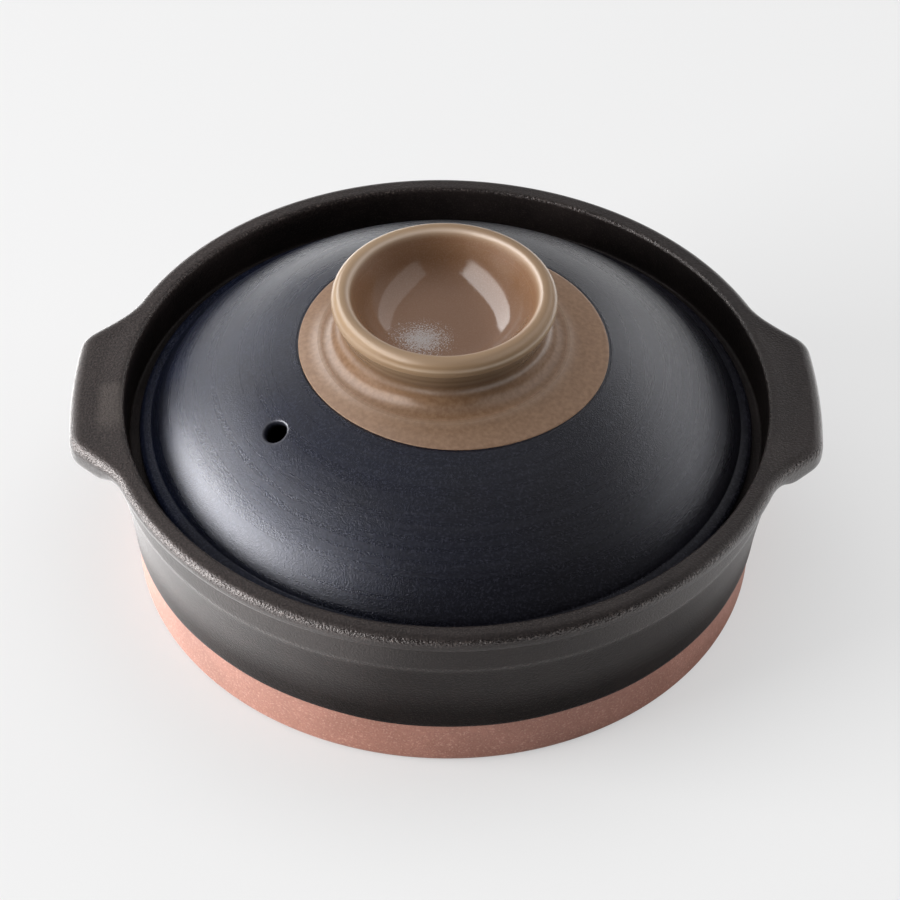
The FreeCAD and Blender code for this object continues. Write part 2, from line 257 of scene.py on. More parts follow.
# Reach of the rim and lugs from the axis. By angle from the X axis: the bowed outer edge, its corner,
# the slanting side, the hollow blend, the rim circle; each is where a ray from the axis meets that line.
def outlineReach(angle, grow):
    folded = np.abs(np.arctan2(np.sin(angle), np.abs(np.cos(angle))))
    bowRadius = (lug["halfWidth"] ** 2 + lug["bow"] ** 2) / (2 * lug["bow"])
    bowCentre = lug["reach"] - bowRadius
    edgeRadius = bowRadius + grow
    cornerRadius = lug["corner"] + grow
    blendRadius = lug["blend"] - grow
    circle = rim["radius"] + grow
    slant = math.radians(lug["side"])
    out = np.array([math.sin(slant), math.cos(slant)])
    along = np.array([-math.cos(slant), math.sin(slant)])
    offset = np.array([lug["reach"] - lug["bow"], lug["halfWidth"]]) @ out + grow
    bowOffset = offset - cornerRadius - bowCentre * out[0]
    corner = np.array([bowCentre, 0]) + out * bowOffset
    corner = corner - along * math.sqrt((edgeRadius - cornerRadius) ** 2 - bowOffset ** 2)
    blend = out * (offset + blendRadius)
    blend = blend - along * math.sqrt((circle + blendRadius) ** 2 - (offset + blendRadius) ** 2)
    fromBow = corner - np.array([bowCentre, 0])
    edgeEnd = corner + fromBow / np.linalg.norm(fromBow) * cornerRadius
    sideStart = corner + out * cornerRadius
    sideEnd = blend - out * blendRadius
    ray = np.stack([np.cos(folded), np.sin(folded)])
    cornerAlong = corner @ ray
    blendAlong = blend @ ray
    turns = [math.atan2(place[1], place[0]) for place in (edgeEnd, sideStart, sideEnd, blend)]
    choices = [
        bowCentre * ray[0] + np.sqrt(edgeRadius ** 2 - (bowCentre * ray[1]) ** 2),
        cornerAlong + np.sqrt(np.maximum(cornerRadius ** 2 - corner @ corner + cornerAlong ** 2, 0)),
        offset / np.maximum(out @ ray, 0.1),  # not used near zero, where the ray misses the side
        blendAlong - np.sqrt(np.maximum(blendRadius ** 2 - blend @ blend + blendAlong ** 2, 0)),
    ]
    return np.select([folded < turn for turn in turns], choices, circle)


# Rows from the glaze line up the wall, under and over the lip, down the inner rim wall and across the seat.
# Each lip row is a mix of the plain rolled lip and the thicker lug, by how far the outline stands out.
def potSkin(angle, grow):
    across = np.stack([np.cos(angle), np.sin(angle)])
    reach = outlineReach(angle, grow) + handWave(angle, *potGlaze["reachWave"])
    edge = across * reach
    step = np.roll(edge, -1, axis=1) - np.roll(edge, 1, axis=1)
    normal = np.stack([step[1], -step[0]]) / np.hypot(step[0], step[1])
    isLug = smooth((reach - rim["radius"] - grow) / lug["rise"])
    topShift = handWave(angle, *potGlaze["topWave"])
    top = rim["top"] + grow + topShift
    roll = rim["lipRoll"] + grow
    lugRound = lug["round"] + grow
    lugUnder = rim["top"] - lug["thickness"] - grow
    rows = []
    marks = []

    def addRow(place, height, mark):
        rows.append(np.stack([place[0], place[1], np.broadcast_to(height, angle.shape)], axis=-1))
        marks.append(np.broadcast_to(mark, angle.shape))

    line = glazeLine + waveSum(angle, potGlaze["lineWaves"])
    for turn in np.radians(np.linspace(0, 90, potGlaze["edgeRows"])):
        height = line + glaze * (1 - math.cos(turn))
        radius = wallRadius(height, mix(potGlaze["edgeThin"], grow, math.sin(turn)))
        addRow(across * radius, height, wear["line"])

    for share in np.linspace(0, 1, potGlaze["lowRows"] + 1)[1:]:
        height = mix(line + glaze, potGlaze["lowEnd"], share)
        addRow(across * wallRadius(height, grow), height, 0)
    bandEnd = mix(rim["coveHeight"], lug["coveHeight"], isLug)
    for share in between(potGlaze["bandRows"]):
        height = mix(potGlaze["lowEnd"], bandEnd, share)
        ridgeMark = bell(height, wall["ridgeHeight"], wear["ridgeWidth"])
        addRow(across * wallRadius(height, grow), height, wear["ridge"] * ridgeMark)

    lugCoveCentre = (wallRadius(lug["coveHeight"], grow) + lug["fillet"], lugUnder - lug["fillet"])
    rimCove = arcRun(coveCentre, rim["cove"] - grow, 180, 90, potGlaze["coveRows"])
    lugCove = arcRun(lugCoveCentre, lug["fillet"], 180, 90, potGlaze["coveRows"])
    for rimPoint, lugPoint in zip(rimCove, lugCove):
        addRow(across * mix(rimPoint[0], lugPoint[0], isLug), mix(rimPoint[1], lugPoint[1], isLug), 0)

    # Lip rows: the rim turns along its roll, while the lug runs out along its underside and round its edge.
    def addLipRow(turn, lugPlace, lugHeight):
        rimInset = roll * (1 - math.cos(math.radians(turn)))
        rimHeight = lipCentre[1] + roll * math.sin(math.radians(turn))
        waveShare = smooth((turn - potGlaze["topWaveStart"]) / potGlaze["topWaveLength"])
        height = mix(rimHeight, lugHeight, isLug) + topShift * waveShare
        crest = bell(turn, wear["crestTurn"], wear["crestWidth"])
        addRow(mix(edge - normal * rimInset, lugPlace, isLug), height, crest)

    def addLugRound(turns, lugTurns, middleHeight):
        for turn, lugTurn in zip(np.linspace(*turns), np.radians(np.linspace(*lugTurns))):
            lugPlace = edge - normal * lugRound * (1 - math.cos(lugTurn))
            addLipRow(turn, lugPlace, middleHeight + lugRound * math.sin(lugTurn))

    for turn, share in zip(np.linspace(*potGlaze["underTurns"]), np.linspace(*potGlaze["underShares"])):
        addLipRow(turn, mix(across * lugCoveCentre[0], edge - normal * lugRound, share), lugUnder)
    addLugRound(potGlaze["lowTurns"], potGlaze["lugLowTurns"], lugUnder + lugRound)
    addLugRound(potGlaze["highTurns"], potGlaze["lugHighTurns"], rim["top"] + grow - lugRound)

    landStart = edge - normal * mix(roll, lugRound, isLug)
    mouthShift = handWave(angle, *potGlaze["mouthWave"])
    dent = lug["dent"] * smooth((reach - lug["dentStart"]) / lug["dentLength"])
    for share in between(potGlaze["landRows"]):
        dip = dent * math.sin(math.pi * share) ** 2
        addRow(mix(landStart, across * (mouthCentre[0] - mouthShift), share), top - dip, wear["land"])
    for radius, height in arcRun(mouthCentre, rim["mouthRound"] + grow, 90, 180, 7):
        mouthMark = bell(height, rim["top"] + grow - wear["mouthDrop"], wear["mouthWidth"])
        addRow(across * (radius - mouthShift), height + topShift, wear["mouth"] * mouthMark)
    corner = seat["corner"]
    seatTop = seat["height"] + grow
    innerTop = (rim["mouth"] - grow, mouthCentre[1])
    innerEnd = (seat["outer"] - grow, seatTop + corner)
    for radius, height in lineRun(innerTop, innerEnd, 8):
        fade = (height - innerEnd[1]) / (innerTop[1] - innerEnd[1])
        addRow(across * (radius - mouthShift * fade), height + topShift * fade, 0)
    seatRun = np.concatenate([
        arcRun((innerEnd[0] - corner, innerEnd[1]), corner, 0, -90, 5),
        lineRun((innerEnd[0] - corner, seatTop), (seatCentre[0], seatTop), 5),
        arcRun(seatCentre, seat["round"] + grow, 90, 180, 6),
    ])
    for radius, height in seatRun:
        addRow(across * radius, height, 0)
    return np.array(rows), np.array(marks)


even = evenAngles(potGlaze["columns"])
skinAngle = even - potGlaze["crowding"] / 2 * np.sin(2 * even)
skinFront, skinMarks = potSkin(skinAngle, glaze)
skinBack = potSkin(skinAngle, 0)[0]
skinHidden = skinBack[hiddenRows(len(skinBack))[::-1]]
skinGrid = np.concatenate([skinFront, skinHidden])
skinEdge = np.concatenate([skinMarks, np.zeros(skinHidden.shape[:2])])
potGlazePiece = ringPiece("potGlaze", skinGrid, {"edge": skinEdge})
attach(potGlazePiece, "pot")
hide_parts("pot_outer_glaze", "right_lug_glaze", "left_lug_glaze")

# Lugs, clay: the part of the same section that stands out from the rim, a little under the glaze.

lugClay = {"sunk": 0.08, "leastReach": 0.05, "landRows": 4, "inside": ((121.0, 72.9), (120.6, 66.0))}
lugCore = potSkin(skinAngle, -lugClay["sunk"])[0]
standsOut = outlineReach(skinAngle, 0) - rim["radius"] > lugClay["leastReach"]
firstLugRow = potGlaze["edgeRows"] + potGlaze["lowRows"] + potGlaze["bandRows"]
lipRows = potGlaze["underTurns"][2] + potGlaze["lowTurns"][2] + potGlaze["highTurns"][2]
lastLugRow = firstLugRow + potGlaze["coveRows"] + lipRows + lugClay["landRows"]


# A window of the skin's grid round the middle column, closed behind by two rows in the rim and by a cap at
# each end.
def makeLug(name, node, middle):
    half = int(standsOut.sum() // 4)
    picked = (middle + np.arange(-half, half + 1)) % potGlaze["columns"]
    shell = lugCore[firstLugRow:lastLugRow, picked]
    inside = turnedGrid(np.array(lugClay["inside"]), skinAngle[picked])
    grid = np.concatenate([shell, inside])
    rows, columns = grid.shape[:2]
    faces = gridFaces(rows, columns, True).reshape(rows, columns, 4)[:, :-1].reshape(-1, 4)
    startCap = (np.arange(rows) * columns)[None, :]
    endCap = (np.arange(rows)[::-1] * columns + columns - 1)[None, :]
    piece = makePiece(name, grid.reshape(-1, 3), [faces, startCap, endCap], {})
    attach(piece, "pot")
    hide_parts(node)
    return piece


rightLug = makeLug("rightLug", "right_lug", 0)
leftLug = makeLug("leftLug", "left_lug", potGlaze["columns"] // 2)

# Pot, inner glaze: a bowl from the inner edge of the seat to the floor, and its underside.

innerGlaze = {"columns": 240}


# Profile of the hollow from the middle of its floor, round the corner and up to the seat.
def hollowRun(grow):
    floor = hollow["floor"] + grow
    bend = hollow["corner"] - grow
    top = (seat["inner"] - grow, seatCentre[1])
    return np.concatenate([
        lineRun((0, floor), (hollowCentre[0], floor), 14),
        arcRun(hollowCentre, bend, -90, 0, 16),
        lineRun((hollowCentre[0] + bend, hollowCentre[1]), top, 8),
        [top],
    ])


innerProfile = np.concatenate([hollowRun(0), hollowRun(glaze)[::-1]])
innerGrid = turnedGrid(innerProfile, evenAngles(innerGlaze["columns"]))
innerFirst = (0, 0, hollow["floor"])
innerLast = (0, 0, hollow["floor"] + glaze)
innerPiece = axisPiece("potInnerGlaze", innerFirst, innerGrid, innerLast, {})
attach(innerPiece, "pot")
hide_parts("pot_inner_glaze")
print("pot made")

# Lid shape: a crown sphere, a shoulder arc that runs smoothly into it, and a rounded edge.

lid = {
    "bottom": 58.2, "radius": 113.2, "edge": 3.5, "foot": (109.0, 62.2),
    "crownTop": 104.3, "crownRadius": 200.0, "crownReach": 62.0,
    "shoulder": (30.6999, -1.5467), "shoulderRadius": 100.968,
    "swell": 1.4, "swellRadius": 99.0, "swellWidth": 8.0,
}
crownCentre = lid["crownTop"] - lid["crownRadius"]
paleZone = {"shift": 2.3, "radius": 56.3, "waves": ((2, 0.6, 0.22), (5, 2, 0.12))}


# Height of the crown sphere at a distance from the axis.
def crownHeight(radius, grow):
    return crownCentre + np.sqrt((lid["crownRadius"] + grow) ** 2 - np.square(radius))


# Height of the dome: the crown sphere, and beyond its reach the shoulder arc; the glaze swells low on it.
def domeHeight(radius, grow):
    bend = (lid["shoulderRadius"] + grow) ** 2 - (radius - lid["shoulder"][0]) ** 2
    swell = lid["swell"] * grow * bell(radius, lid["swellRadius"], lid["swellWidth"])
    shoulder = lid["shoulder"][1] + np.sqrt(bend) + swell
    turn = lid["crownReach"] * (lid["crownRadius"] + grow) / lid["crownRadius"]
    return np.where(radius < turn, crownHeight(radius, grow), shoulder)


# Edge of the pale zone: a circle a little to the right of the axis, dipped by hand.
def paleEdge(angle):
    radius = paleZone["radius"] + waveSum(angle, paleZone["waves"])
    return paleZone["shift"] + radius * np.cos(angle), radius * np.sin(angle)


# Rows over the dome that slide from one curve round the axis to another, by shares of the way.
def slideRows(start, end, share, grow):
    placeX = mix(start[0], end[0], share[:, None])
    placeY = mix(start[1], end[1], share[:, None])
    return np.stack([placeX, placeY, domeHeight(np.hypot(placeX, placeY), grow)], axis=-1)


# Lid, navy glaze: nose, top of the edge, foot of the dome, and rows that slide from the foot circle
# to the edge of the pale zone.

navy = {"columns": 420, "domeRows": 46, "bendOut": 0.4, "bendIn": 0.5, "bendDrop": 0.05}
hole = {
    "middle": np.array([-61.2906, -40.5674, 89.9011]), "axis": np.array([-0.35348, -0.23396, 0.90571]),
    "radius": 4.6, "bevel": 0.5, "window": 8.5,
    # Shares of the way in from the window, on the coat and under it
    "outerShares": (0.25, 0.5, 0.75, 0.92, 1), "underShares": (1, 0.6, 0.3),
    # Rings down the bore and back up, as (wider than the bore, depth)
    "tube": ((0.1, 0.14), (-0.3, 0.4), (-0.45, 3.0), (-0.45, 8.1), (-0.1, 8.1), (-0.1, 0.6)),
    # Where the bore is painted near black as painted shade: start and length along the axis, reach from it
    "rimInset": 0.2, "rimWidth": 0.3, "darkStart": -0.1, "darkLength": 0.4, "darkReach": 4.75,
}


# One side of the coat, from the nose inwards.
def navySide(angle, grow):
    half = lid["edge"] / 2
    nose = (lid["radius"] - half, lid["bottom"] + half)
    bend = (lid["foot"][0], lid["foot"][1] + grow)
    bendStart = (bend[0] + navy["bendOut"], bend[1] - navy["bendDrop"])
    domeStart = bend[0] - navy["bendIn"]
    profile = np.concatenate([
        arcRun(nose, half + grow, 0, 90, 9),
        lineRun((nose[0], nose[1] + half + grow), bendStart, 4),
        bendRun(bendStart, bend, (domeStart, domeHeight(domeStart, grow)), 5),
    ])
    share = np.linspace(0, 1, navy["domeRows"] + 1)[1:]
    footCircle = (domeStart * np.cos(angle), domeStart * np.sin(angle))
    return np.concatenate([turnedGrid(profile, angle), slideRows(footCircle, paleEdge(angle), share, grow)])


navyAngle = evenAngles(navy["columns"])
navyFront = navySide(navyAngle, glaze)
navyBack = navySide(navyAngle, 0)
navyRows, navyColumns = navyFront.shape[:2]
navyGrid = np.concatenate([navyFront, navyBack[::-1]])

# The steam hole: faces in a window of the grid give way to rings that run from the window's edge
# to a bevelled circle, through the coat, and back out to the same window underneath.
spot = hole["middle"] + hole["axis"] * glaze
gap = np.linalg.norm(navyFront - spot, axis=-1)
inWindow = np.argwhere(gap < hole["window"])
rowLow, columnLow = inWindow.min(axis=0)
rowHigh, columnHigh = inWindow.max(axis=0)
loopRow = np.concatenate([
    np.full(columnHigh - columnLow, rowLow),
    np.arange(rowLow, rowHigh),
    np.full(columnHigh - columnLow, rowHigh),
    np.arange(rowHigh, rowLow, -1),
])
loopColumn = np.concatenate([
    np.arange(columnLow, columnHigh),
    np.full(rowHigh - rowLow, columnHigh),
    np.arange(columnHigh, columnLow, -1),
    np.full(rowHigh - rowLow, columnLow),
])
sideways = np.cross([0, 0, 1], hole["axis"])
sideways = sideways / np.linalg.norm(sideways)
upwards = np.cross(hole["axis"], sideways)


# Rings round the bore at the height of the dome: each point of the loop moved in by a share of the way
# to a radius.
def holeRings(loop, grow, radii):
    local = loop - hole["middle"]
    turn = np.arctan2(local @ upwards, local @ sideways)
    reach = np.hypot(local @ upwards, local @ sideways)
    rings = []
    for share, radius in radii:
        out = mix(reach, radius, share)[:, None]
        ring = hole["middle"] + out * (np.cos(turn)[:, None] * sideways + np.sin(turn)[:, None] * upwards)
        ring[:, 2] = domeHeight(np.hypot(ring[:, 0], ring[:, 1]), grow)
        rings.append(ring)
    return rings


bevelRadius = hole["radius"] + hole["bevel"]
frontLoop = navyFront[loopRow, loopColumn]
backLoop = navyBack[loopRow, loopColumn]
frontRings = holeRings(frontLoop, glaze, [(share, bevelRadius) for share in hole["outerShares"]])
lipRings = holeRings(frontLoop, glaze, [(1, hole["radius"] + wider) for wider, depth in hole["tube"]])
lipRings = [ring - hole["axis"] * depth for ring, (wider, depth) in zip(lipRings, hole["tube"])]
backRings = holeRings(backLoop, 0, [(share, hole["radius"]) for share in hole["underShares"]])
ringPoints = np.array(frontRings + lipRings + backRings)

faces = gridFaces(len(navyGrid), navyColumns, True)
faceRow = np.arange(len(faces)) // navyColumns
faceColumn = np.arange(len(faces)) % navyColumns
mirrorRow = 2 * navyRows - 2 - faceRow
inColumns = (faceColumn >= columnLow) & (faceColumn < columnHigh)
inFront = (faceRow >= rowLow) & (faceRow < rowHigh)
inBack = (mirrorRow >= rowLow) & (mirrorRow < rowHigh)
faces = faces[~(inColumns & (inFront | inBack))]
firstLoop = loopRow * navyColumns + loopColumn
lastLoop = (2 * navyRows - 1 - loopRow) * navyColumns + loopColumn
innerLoops = np.arange(ringPoints.shape[0] * len(loopRow)).reshape(-1, len(loopRow))
innerLoops = innerLoops + len(navyGrid) * navyColumns
loops = np.concatenate([[firstLoop], innerLoops, [lastLoop]])
nextLoops = np.roll(loops, -1, axis=1)
tube = np.stack([loops[:-1], nextLoops[:-1], nextLoops[1:], loops[1:]], axis=-1).reshape(-1, 4)
navyPoints = np.concatenate([navyGrid.reshape(-1, 3), ringPoints.reshape(-1, 3)])
axisPart = (navyPoints - hole["middle"]) @ hole["axis"]
fromHole = np.linalg.norm(navyPoints - hole["middle"] - axisPart[:, None] * hole["axis"], axis=1)
# The hollow mark paints the steam hole's bore near black: painted shade
inBore = fromHole < hole["darkReach"]
navyMarks = {
    "holeRim": bell(fromHole, bevelRadius - hole["rimInset"], hole["rimWidth"]),
    "hollow": smooth((-axisPart - hole["darkStart"]) / hole["darkLength"]) * inBore,
}
navyPiece = makePiece("lidNavyGlaze", navyPoints, [faces, tube], navyMarks)
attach(navyPiece, "lid")
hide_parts("lid_navy_glaze")

# Knob and pale zone, tan glaze: from the middle of its underside outwards, round the edge of the pale zone,
# back in over the dome, up the flare and neck, over the rolled lip and down into the bowl.

tan = {
    "columns": 360, "shift": 1.4, "zoneRows": 11,
    # Rows that fade out on the dome, as (away from the foot, above the dome)
    "foot": 44.5, "footStep": 0.5, "footFade": ((4.4, 0), (3.0, 0.06), (1.7, 0.19), (0.7, 0.33)),
    "footSag": 0.22, "sagWidth": 1.6, "flareRows": 15,
    "neck": (36.3, 108.3), "neckRows": 12, "bead": 0.08, "beadHeight": 113.0, "beadWidth": 0.6,
    "lip": (36.7, 118.199), "lipRoll": 3.5, "lipTurn": -50, "inner": (36.3, 119.399), "innerRound": 2.3,
    "bowlSlope": 58.0, "dish": 20.0, "flat": 13.07,
}


# The knob was set a little to the left by hand: moved along the round crown.
def setByHand(grid):
    tilt = math.asin(tan["shift"] / lid["crownRadius"])
    across = grid[..., 0]
    height = grid[..., 2] - crownCentre
    moved = grid.copy()
    moved[..., 0] = across * math.cos(tilt) - height * math.sin(tilt)
    moved[..., 2] = crownCentre + across * math.sin(tilt) + height * math.cos(tilt)
    return moved


# Knob profile from the edge of its foot to the middle of the bowl, without the axis point: a fade on the
# dome, an arc for the flare, a straight neck with a bead, the rolled lip, a sloped wall and a flat floor.
def knobRun(grow):
    foot = (tan["foot"] + grow, float(crownHeight(tan["foot"], 0)) + tan["footStep"] + grow)
    neck = (tan["neck"][0] + grow, tan["neck"][1])
    width = foot[0] - neck[0]
    rise = neck[1] - foot[1]
    flare = (width ** 2 + rise ** 2) / (2 * width)
    turn = math.degrees(math.atan2(rise, flare - width))
    fadeRun = [(foot[0] + away, float(crownHeight(foot[0] + away, grow)) + above)
               for away, above in tan["footFade"]]
    flareRun = arcRun((neck[0] + flare, neck[1]), flare, 180 + turn, 180, tan["flareRows"] + 1)[1:]
    flareRun[:, 1] = flareRun[:, 1] - tan["footSag"] * bell(flareRun[:, 0], foot[0], tan["sagWidth"])
    lipRun = arcRun(tan["lip"], tan["lipRoll"] + grow, tan["lipTurn"], 90, 22)
    neckRun = lineRun(neck, lipRun[0], tan["neckRows"])
    neckRun[:, 0] = neckRun[:, 0] + tan["bead"] * bell(neckRun[:, 1], tan["beadHeight"], tan["beadWidth"])
    innerRun = arcRun(tan["inner"], tan["innerRound"] + grow, 90, 90 + tan["bowlSlope"], 8)
    slope = math.radians(tan["bowlSlope"])
    sideRoom = tan["innerRound"] + tan["dish"] - math.sin(slope) * (tan["inner"][0] - tan["flat"])
    dishCentre = (tan["flat"], tan["inner"][1] + sideRoom / math.cos(slope))
    dishRun = arcRun(dishCentre, tan["dish"] - grow, tan["bowlSlope"] - 90, -90, 20)
    return np.concatenate([
        fadeRun,
        flareRun,
        neckRun,
        lipRun,
        innerRun,
        lineRun(innerRun[-1], dishRun[0], 9),
        dishRun,
        lineRun((tan["flat"], dishRun[-1][1]), (0, dishRun[-1][1]), 6),
    ])


# One side of the coat, from the edge of the pale zone to the middle of the bowl.
def tanSide(angle, grow):
    knob = setByHand(turnedGrid(knobRun(grow), angle))
    share = np.linspace(0, 1, tan["zoneRows"] + 1)[:-1]
    zone = slideRows(paleEdge(angle), (knob[0, :, 0], knob[0, :, 1]), share, grow)
    return np.concatenate([zone, knob])


tanAngle = evenAngles(tan["columns"])
tanFront = tanSide(tanAngle, glaze)
tanBack = tanSide(tanAngle, 0)[::-1]
tanHidden = tanBack[hiddenRows(len(tanBack))]
tanGrid = np.concatenate([tanHidden, tanFront])

# Marks by row, counted from the edge of the zone or from the lip: each fades over a few rows.
row = np.arange(len(tanFront))
fromLip = row - tan["zoneRows"] - len(tan["footFade"]) - tan["flareRows"] - tan["neckRows"]
rowMarks = {
    "bowl": smooth((fromLip - 27) / 5),
    "edge": bell(fromLip, 26.5, 2.2),
    "zone": 1 - smooth((row - 9) / 5),
    "flare": 1 - smooth((fromLip + 16) / 10),
    # neck: painted shade under the overhanging lip
    "neck": smooth((fromLip + 20) / 9) * (1 - smooth((fromLip + 2) / 7)),
    # foot: a painted highlight line along the step at the foot
    "foot": bell(row, 14, 1.1),
}
tanMarks = {}
for mark, values in rowMarks.items():
    column = np.concatenate([np.zeros(len(tanHidden)), values])[:, None]
    tanMarks[mark] = np.repeat(column, tan["columns"], axis=1)
tanFirst = tanBack[0].mean(axis=0)
tanLast = tanFront[-1].mean(axis=0)
tanPiece = axisPiece("knobTanGlaze", tanFirst, tanGrid, tanLast, tanMarks)
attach(tanPiece, "lid")
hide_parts("knob_tan_glaze")
print("lid made")


# Material helpers: a value is a socket, which is linked, or a plain number or colour, which is set

def plug(tree, socket, value):
    if isinstance(value, bpy.types.NodeSocket):
        tree.links.new(value, socket)
    else:
        socket.default_value = value


def addNode(tree, kind, **inputs):
    node = tree.nodes.new(kind)
    for name, value in inputs.items():
        plug(tree, node.inputs[name], value)
    return node


def maths(tree, operation, first, second=0.5, third=0.0):
    node = tree.nodes.new("ShaderNodeMath")
    node.operation = operation
    for socket, value in zip(node.inputs, (first, second, third)):
        plug(tree, socket, value)
    return node.outputs[0]


# Product of two or more values.
def times(tree, product, *others):
    for other in others:
        product = maths(tree, "MULTIPLY", product, other)
    return product


# A value from low to high becomes one from newLow to newHigh, and is held there at the ends.
def remap(tree, value, low, high, newLow=0, newHigh=1):
    node = addNode(tree, "ShaderNodeMapRange", Value=value)
    node.inputs["From Min"].default_value = low
    node.inputs["From Max"].default_value = high
    node.inputs["To Min"].default_value = newLow
    node.inputs["To Max"].default_value = newHigh
    return node.outputs["Result"]


# The first colour, covered by the second as far as the share says.
def mixColour(tree, share, first, second):
    node = tree.nodes.new("ShaderNodeMix")
    node.data_type = "RGBA"
    plug(tree, node.inputs[0], share)
    for socket, colour in ((node.inputs[6], first), (node.inputs[7], second)):
        plug(tree, socket, (*colour, 1) if isinstance(colour, tuple) else colour)
    return node.outputs[2]


def noise(tree, vector, scale, detail):
    node = addNode(tree, "ShaderNodeTexNoise", Vector=vector, Scale=scale, Detail=detail, Roughness=0.55)
    return node.outputs[0]


def attribute(tree, name):
    node = tree.nodes.new("ShaderNodeAttribute")
    node.attribute_name = name
    return node.outputs["Fac"]


# The X, Y and Z of a place.
def splitPlace(tree, place):
    return addNode(tree, "ShaderNodeSeparateXYZ", Vector=place).outputs[:3]


# Distance from the axis of the pot: the root of the squares of X and Y.
def axisDistance(tree, placeX, placeY):
    squares = maths(tree, "MULTIPLY", placeX, placeX)
    squares = maths(tree, "MULTIPLY_ADD", placeY, placeY, squares)
    return maths(tree, "SQRT", squares)


def newGroup(name, outputs):
    tree = bpy.data.node_groups.new(name, "ShaderNodeTree")
    tree.interface.new_socket("place", in_out="INPUT", socket_type="NodeSocketVector")
    for socket in outputs:
        tree.interface.new_socket(socket, in_out="OUTPUT", socket_type="NodeSocketFloat")
    return tree, tree.nodes.new("NodeGroupInput").outputs["place"], tree.nodes.new("NodeGroupOutput")


def useGroup(tree, group, place):
    node = tree.nodes.new("ShaderNodeGroup")
    node.node_tree = group
    tree.links.new(place, node.inputs["place"])
    return node.outputs


def bump(tree, height, strength, distance, normal=None):
    node = addNode(tree, "ShaderNodeBump", Height=height, Strength=strength, Distance=distance)
    if normal is not None:
        tree.links.new(normal, node.inputs["Normal"])
    return node.outputs["Normal"]


# Grain of the fired surface, each as (waves in a metre, detail): fine, glitter, coarse and large blotches.
grainSizes = {
    "fine": (1900.0, 3.0), "glitter": (1150.0, 2.0), "coarse": (620.0, 4.0), "blotch": (42.0, 4.0),
}
grainGroup, grainPlace, grainOut = newGroup("firedGrain", grainSizes)
for output, (scale, detail) in grainSizes.items():
    grainGroup.links.new(noise(grainGroup, grainPlace, scale, detail), grainOut.inputs[output])

# Throwing lines: noise that changes quickly with distance from the axis or height, slowly round the pot.
throwing = {"across": 520.0, "along": 9.0, "detail": 1.5}
linesGroup, linesPlace, linesOut = newGroup("throwingLines", ["radial", "upright"])
linesX, linesY, linesZ = splitPlace(linesGroup, linesPlace)
for output, quick in (("radial", axisDistance(linesGroup, linesX, linesY)), ("upright", linesZ)):
    stretched = addNode(linesGroup, "ShaderNodeCombineXYZ", X=times(linesGroup, quick, throwing["across"]),
                        Y=times(linesGroup, linesX, throwing["along"]),
                        Z=times(linesGroup, linesY, throwing["along"])).outputs[0]
    linesGroup.links.new(noise(linesGroup, stretched, 1.0, throwing["detail"]), linesOut.inputs[output])


def newMaterial(name):
    material = bpy.data.materials.new(name)
    material.use_nodes = True
    tree = material.node_tree
    shader = tree.nodes["Principled BSDF"]
    place = tree.nodes.new("ShaderNodeTexCoord").outputs["Object"]
    return material, tree, shader, place


def setShader(tree, shader, colour, rough, shine, normal):
    plug(tree, shader.inputs["Base Color"], colour)
    plug(tree, shader.inputs["Roughness"], rough)
    plug(tree, shader.inputs["Specular IOR Level"], shine)
    plug(tree, shader.inputs["Normal"], normal)


# Bare clay: two reds in blotches, with stains, pale grit and dark pits.

clayLook = {
    "dark": (0.335, 0.14, 0.096), "light": (0.41, 0.18, 0.128), "stain": (0.27, 0.105, 0.07),
    "grit": (0.66, 0.4, 0.31), "pit": (0.2, 0.075, 0.05), "rough": 0.55, "shine": 0.7,
}


def bareClay():
    look = clayLook
    material, tree, shader, place = newMaterial("bareClay")
    grain = useGroup(tree, grainGroup, place)
    lines = useGroup(tree, linesGroup, place)
    colour = mixColour(tree, remap(tree, grain["blotch"], 0.35, 0.65), look["dark"], look["light"])
    colour = mixColour(tree, remap(tree, grain["coarse"], 0.42, 0.72, 0, 0.5), colour, look["stain"])
    colour = mixColour(tree, remap(tree, grain["glitter"], 0.54, 0.72, 0, 0.55), colour, look["grit"])
    colour = mixColour(tree, remap(tree, grain["fine"], 0.44, 0.3, 0, 0.5), colour, look["pit"])
    normal = bump(tree, lines["upright"], 0.35, 0.0003)
    normal = bump(tree, grain["fine"], 0.5, 0.0003, normal)
    setShader(tree, shader, colour, look["rough"], look["shine"], normal)
    return material


# Black glaze: satin, shinier above the ridge, dull inside the mouth, worn on the edges.

blackLook = {
    # The scuff colour also paints light on the left of the rim top.
    "dark": (0.008, 0.0062, 0.006), "light": (0.015, 0.0115, 0.0108), "scuffAndLight": (0.052, 0.04, 0.037),
    "rubbed": (0.085, 0.071, 0.063), "worn": (0.13, 0.105, 0.095), "speck": (0.055, 0.044, 0.04),
    "tint": (1, 0.93, 0.91, 1), "rough": 0.36, "edgeRough": 0.18,
    "wallShine": 0.17, "bandShine": 0.38, "topLoss": 0.08, "edgeShine": 0.3, "mouthShare": 0.24,
}


